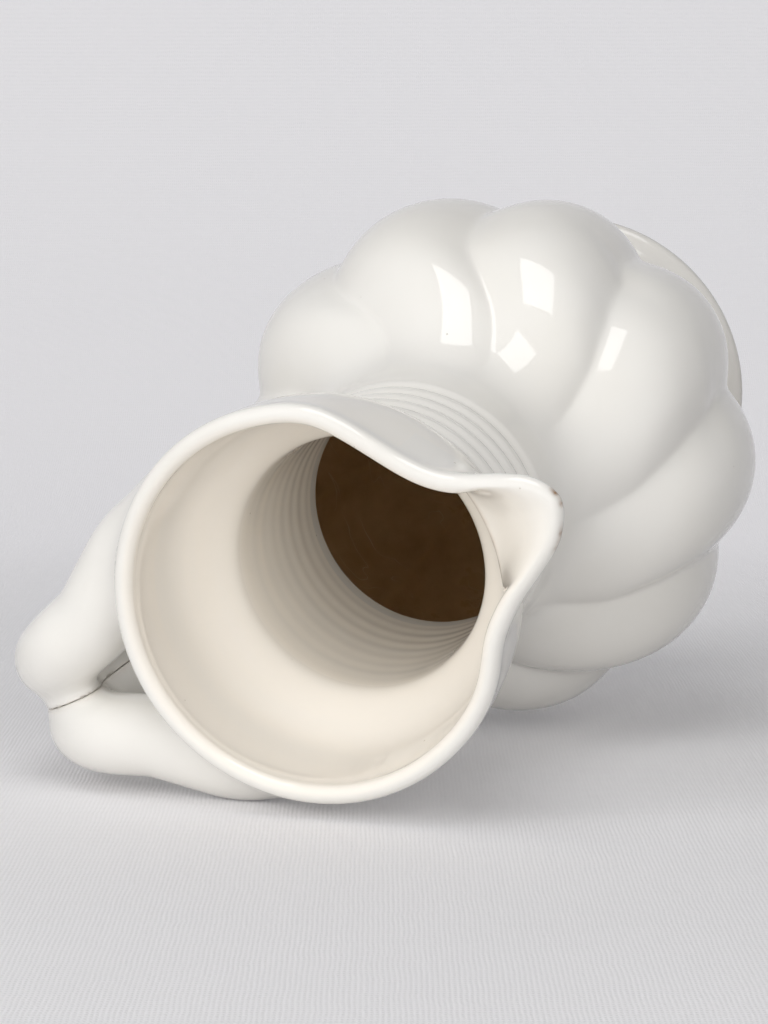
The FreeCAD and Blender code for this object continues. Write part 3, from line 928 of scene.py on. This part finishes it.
def distanceAlong(points, path, radii, stride=8, around=10, batch=40000):
    # Distance to the skin of a rod whose radius changes along its path. A first search finds the
    # nearest of every few points, and only the runs around it are measured.
    found = np.empty(len(points))
    coarse = path[::stride]
    for start in range(0, len(points), batch):
        part = points[start:start + batch]
        gaps = (coarse ** 2).sum(axis=1) - 2 * part @ coarse.T
        first = np.clip(np.argmin(gaps, axis=1) * stride - around, 0, len(path) - 2 * around - 2)
        index = first[:, None] + np.arange(2 * around + 1)
        begin, run = path[index], path[index + 1] - path[index]
        offset = part[:, None, :] - begin
        share = np.clip((offset * run).sum(axis=2) / (run * run).sum(axis=2), 0, 1)
        away = np.linalg.norm(offset - share[..., None] * run, axis=2)
        radius = radii[index] + share * (radii[index + 1] - radii[index])
        found[start:start + batch] = (away - radius).min(axis=1)
    return found


def strandField(points, side):
    # Negative inside the clay of one strand.
    across = acrossHandle(points)
    strand = distanceAlong(points, *rods[side])
    near = np.abs(across) < handle["jointReach"]
    both = strand.copy()
    both[near] = smoothUnion(strand[near], distanceAlong(points[near], *rods[-side]), handle["joint"])
    angle, level = np.arctan2(points[:, 1], points[:, 0]), points[:, 2]
    slope = (pressedRadius(angle, level + mm) - pressedRadius(angle, level - mm)) / (2 * mm)
    reach = np.hypot(points[:, 0], points[:, 1])
    wall = (reach - pressedRadius(angle, level)) / np.sqrt(1 + slope * slope)
    half = mouth["wall"] / 2
    middle = mouth["rimRadius"] - half
    wall = np.where(level > archLevel, np.hypot(reach - middle, level - archLevel) - half, wall)
    field = smoothUnion(both, wall + handle["skinDepth"], handle["flare"])
    field = -smoothUnion(-field, wall + handle["rootDepth"], handle["rootRounding"])
    # Over the rim the clay ends before the rim's middle.
    kept, skin = handle["rimCut"]
    field = np.where((level > archLevel) & (reach < middle + kept), middle + skin - reach, field)
    field = np.maximum(field, strand - handle["flare"] * handle["flareReach"])
    return -smoothUnion(-field, side * across - handle["gap"], handle["creaseRounding"])


def skinOf(field, low, high, cell):
    # Quads round the places where the field changes sign on a grid of cells.
    axes = [np.arange(low[k], high[k] + cell, cell) for k in range(3)]
    shape = tuple(len(axis) for axis in axes)
    points = np.stack(np.meshgrid(*axes, indexing="ij"), axis=-1).reshape(-1, 3)
    values = np.concatenate([field(part) for part in np.array_split(points, 40)]).reshape(shape)
    cells = tuple(n - 1 for n in shape)
    corners = {a: values[tuple(slice(s, s + n) for s, n in zip(a, cells))] for a in np.ndindex(2, 2, 2)}
    total, count = np.zeros((*cells, 3)), np.zeros(cells)
    for a, here in corners.items():
        for axis in range(3):
            if a[axis]:
                continue
            there = corners[tuple(a[k] + (k == axis) for k in range(3))]
            cross = (here < 0) != (there < 0)
            share = np.where(cross, here / np.where(cross, here - there, 1), 0)
            for k in range(3):
                total[..., k] += np.where(cross, a[k] + (share if k == axis else 0), 0)
            count += cross
    used = count > 0
    index = np.full(cells, -1)
    index[used] = np.arange(int(used.sum()))
    vertices = low + (np.argwhere(used) + total[used] / count[used][:, None]) * cell
    faces = []
    for axis in range(3):
        sides = [(axis + 1) % 3, (axis + 2) % 3]
        inA, inB = np.delete(values < 0, -1, axis), np.delete(values < 0, 0, axis)
        spots = np.argwhere(inA != inB)
        within = (spots[:, sides] > 0) & (spots[:, sides] < [cells[k] for k in sides])
        spots = spots[within.all(axis=1)]
        ring = []
        for shift in ((-1, -1), (0, -1), (0, 0), (-1, 0)):
            cellAt = spots.copy()
            cellAt[:, sides] += shift
            ring.append(index[tuple(cellAt.T)])
        quads = np.stack(ring, axis=1)
        faces.append(np.where(inA[tuple(spots.T)][:, None], quads, quads[:, ::-1]))
    return vertices, np.vstack(faces)


def makeStrand(name, side):
    path, radii = rods[side]
    widest = radii.max() + handle["flare"]
    coarse = path[::6]

    def roughly(points):
        # The field near the strand, and a value well outside elsewhere.
        values = np.full(len(points), 1.0)
        near = ((coarse ** 2).sum(axis=1) - 2 * points @ coarse.T).min(axis=1) + (points ** 2).sum(axis=1)
        close = near < (widest + 4 * mm) ** 2
        values[close] = strandField(points[close], side)
        return values

    def slopes(points):
        tiny = 0.05 * mm
        return np.stack([
            (strandField(points + tiny * step, side) - strandField(points - tiny * step, side)) / (2 * tiny)
            for step in np.eye(3)], axis=1)

    margin = widest + 3 * mm
    vertices, faces = skinOf(roughly, path.min(axis=0) - margin, path.max(axis=0) + margin, handle["cell"])
    # Twice the corners are pulled onto the skin, at most half a cell at a time.
    for _ in range(2):
        pull = slopes(vertices)
        steepness = np.maximum(np.einsum("ij,ij->i", pull, pull), 0.25)
        move = -(strandField(vertices, side) / steepness)[:, None] * pull
        reach = np.linalg.norm(move, axis=1, keepdims=True)
        vertices = vertices + move * np.minimum(1, 0.5 * handle["cell"] / np.maximum(reach, 1e-12))
    normals = unit(slopes(vertices))
    crease = 1 - smoothStep(*handle["creaseWidth"], np.abs(acrossHandle(vertices)))
    # Where a strand faces straight down towards the cloth it is darkened: painted shade. Along the crease
    # between the strands lies a thin ochre stain.
    under = smoothStep(*handle["underFacing"], -normals @ np.array(floorUp))
    stain = np.maximum(handle["creaseStain"] * crease, handle["underShade"] * under)
    return newObject(name, meshFrom(name, vertices, faces.tolist(), normals[faces.ravel()], stain=stain))


for name, side, node in (("strandLeft", 1, "handle_strand_left"), ("strandRight", -1, "handle_strand_right")):
    finishPiece(makeStrand(name, side), node, "cream_glaze")
print("jug made")


# Cloth

cloth = {
    "front": 1.5, "back": 0.45, "sweepRadius": 0.7, "halfWidth": 2.2, "wall": 1.8,
    "touching": ("bodyShell", "rimBand", "collarWall", "strandLeft", "footRing"),
    "colour": (0.94, 0.93, 0.94), "darker": 0.93, "cloudScale": 3.0, "grainScale": 700.0,
    "roughness": 0.85, "specular": 0.2,
    "pale": (0.91, 0.90, 0.93), "paleThread": 0.85, "paleShare": (0.14, 0.50), "paleRange": (-0.1, 0.5),
    "warpPitch": 1.5 * mm, "weftPitch": 2.1 * mm, "thread": 0.8, "threadWander": 6.0,
    "wanderScale": 60.0, "threadNear": (-0.05, 0.35), "threadFar": 0.25,
    "weaveShare": 0.30, "weaveHeight": 0.16 * mm, "grainHeight": 0.12 * mm, "creaseHeight": 5 * mm,
    "creaseStretch": (9.0, 2.5, 2.5),
}


def makeCloth():
    # Floor, sweep and rear wall as one sheet along the view, where the jug's lowest points touch it.
    back, sweep = cloth["back"], cloth["sweepRadius"]
    line = [(t, 0.0) for t in np.linspace(-cloth["front"], back, 40)]
    for t in np.linspace(0, math.pi / 2, 24)[1:]:
        line.append((back + sweep * math.sin(t), sweep * (1 - math.cos(t))))
    line.append((back + sweep, sweep + cloth["wall"]))
    touch = float(min((meshValues(bpy.data.objects[name].data, "co") @ np.array(floorUp)).min()
                      for name in cloth["touching"]))
    across = np.linspace(-cloth["halfWidth"], cloth["halfWidth"], 30)
    points = [floorUp * (touch + up) + floorAhead * along + floorAcross * side
              for along, up in line for side in across]
    numbers = np.arange(len(points)).reshape(len(line), len(across))
    quads = np.stack([numbers[:-1, :-1], numbers[:-1, 1:], numbers[1:, 1:], numbers[1:, :-1]], axis=2)
    mesh = meshFrom("cloth", points, quads.reshape(-1, 4).tolist())
    if mesh.polygons[0].normal.dot(floorUp) < 0:
        mesh.flip_normals()
    return newObject("cloth", mesh)


def seenDirectly(tree):
    # 1 for rays from the camera and for rays that the glaze reflects or lets through.
    do = mathOn(tree)
    rays = addNode(tree, "ShaderNodeLightPath").outputs
    seen = do("MAXIMUM", rays["Is Camera Ray"], rays["Is Glossy Ray"])
    return do("MAXIMUM", seen, rays["Is Transmission Ray"])


def clothMaterial():
    material, tree, shader, place = newMaterial("paleCloth")
    do = mathOn(tree)
    colour, pale = cloth["colour"], cloth["pale"]

    def threadLines(direction, pitch):
        turns = tuple(c * 2 * math.pi / pitch for c in direction)
        along = vectorNode(tree, "DOT_PRODUCT", place, turns)["Value"]
        wander = noiseTexture(tree, place, cloth["wanderScale"], 3.0)
        wave = do("SINE", do("ADD", do("MULTIPLY", wander, cloth["threadWander"]), along))
        return mapRange(tree, wave, -1.0, 1.0)

    cross = do("MULTIPLY", threadLines(floorAcross, cloth["warpPitch"]),
               threadLines(floorAhead, cloth["weftPitch"]))
    clouds = noiseTexture(tree, place, cloth["cloudScale"])
    tone = mixColor(tree, clouds, tuple(cloth["darker"] * c for c in colour), colour)
    # The threads are too fine to see far back.
    depth = vectorNode(tree, "DOT_PRODUCT", place, floorAhead)["Value"]
    near = mapRange(tree, depth, *cloth["threadNear"], 1.0, cloth["threadFar"])
    weave = mapRange(tree, do("MULTIPLY", cross, near), 0.0, 1.0, 0.0, cloth["weaveShare"])
    long = vectorNode(tree, "MULTIPLY", place, cloth["creaseStretch"])[0]
    creases = bumped(tree, noiseTexture(tree, long, 1.0), cloth["creaseHeight"])
    woven = bumped(tree, cross, cloth["weaveHeight"], creases)
    grain = noiseTexture(tree, place, cloth["grainScale"])
    fillInputs(tree, shader, {
        "Base Color": mixColor(tree, weave, tone, tuple(cloth["thread"] * c for c in colour)),
        "Roughness": cloth["roughness"], "Specular IOR Level": cloth["specular"],
        "Normal": bumped(tree, grain, cloth["grainHeight"], woven)})
    # The camera also sees some of the cloth's own colour, so the background stays pale: more of it
    # far back, where the lamps fall off and no shadow lies.
    paleTone = mixColor(tree, weave, pale, tuple(cloth["paleThread"] * c for c in pale))
    glow = addNode(tree, "ShaderNodeEmission", {"Color": paleTone})
    farShare = mapRange(tree, depth, *cloth["paleRange"], *cloth["paleShare"])
    lit = mixShader(tree, do("MULTIPLY", seenDirectly(tree), farShare), shader, glow)
    # From behind the sheet isn't there, so that the jug shows from every side.
    behind = addNode(tree, "ShaderNodeNewGeometry").outputs["Backfacing"]
    surface = mixShader(tree, behind, lit, addNode(tree, "ShaderNodeBsdfTransparent"))
    fillInputs(tree, tree.nodes["Material Output"], {"Surface": surface.outputs[0]})
    return material


sheet = makeCloth()
sheet.data.materials.append(clothMaterial())


# Light

# Way to each lamp: up from the cloth, along the view and to the right. Then its distance, size
# and radiance, and whether the glaze mirrors it.
light = {
    "softbox": ((0.90, -0.42, -0.08), 1.3, 0.72, 2.8, True),
    "front": ((0.30, -0.93, -0.15), 2.2, 1.6, 0.7, False),
    "side": ((0.30, -0.65, -0.70), 2.2, 1.6, 2.95, False),
    "right": ((0.25, -0.90, 0.30), 2.2, 1.4, 2.6, False),
}
lampAim = Vector((0, 0, 0.2))
room = {"colour": (0.97, 0.97, 1.0, 1), "strength": 0.08, "seen": (0.70, 0.69, 0.71, 1)}


def makeLight(name, towards, far, size, radiance, mirrored):
    lamp = bpy.data.lights.new(name, "AREA")
    lamp.shape = "RECTANGLE"
    lamp.size = lamp.size_y = size
    lamp.energy = radiance * math.pi * size ** 2
    stand = newObject(name, lamp)
    up, along, aside = towards
    away = (floorUp * up + floorAhead * along + floorAcross * aside).normalized()
    stand.location = lampAim + away * far
    stand.rotation_euler = away.to_track_quat("Z", "Y").to_euler()
    stand.visible_glossy = mirrored


def makeRoom():
    world = bpy.data.worlds.new("room")
    bpy.context.scene.world = world
    world.use_nodes = True
    tree = world.node_tree
    plain = tree.nodes["Background"]
    fillInputs(tree, plain, {"Color": room["colour"], "Strength": room["strength"]})
    seen = addNode(tree, "ShaderNodeBackground", {"Color": room["seen"]})
    sky = mixShader(tree, seenDirectly(tree), plain, seen)
    fillInputs(tree, tree.nodes["World Output"], {"Surface": sky.outputs[0]})


for name, settings in light.items():
    makeLight(name, *settings)
makeRoom()

bpy.context.scene.view_settings.view_transform = "Standard"
